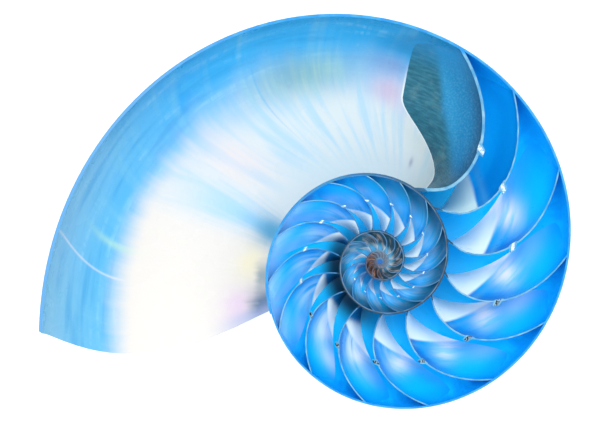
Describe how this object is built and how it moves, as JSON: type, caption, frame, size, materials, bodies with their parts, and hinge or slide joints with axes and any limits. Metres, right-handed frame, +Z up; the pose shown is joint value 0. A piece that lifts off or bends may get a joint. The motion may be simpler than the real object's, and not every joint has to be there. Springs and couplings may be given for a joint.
{
  "type": "nautilus shell half",
  "caption": "Half of a coiled nautilus shell sawn along its plane of symmetry, showing dished chamber walls with siphon necks and an open living chamber, in polished blue mother-of-pearl.",
  "frame": {"origin": "on the surface that the half lies on, under the middle of its box", "axes": "+Z up with the sawn face upward and leaning a little, +X along the shell's length from the mouth toward the first whorl's far side, +Y toward the back of the living chamber"},
  "size_m": [0.1648, 0.123, 0.0482],
  "materials": {
    "pearl": "polished"
  },
  "bodies": {
    "root": {"shell_half": "pearl"}
  },
  "joints": []
}
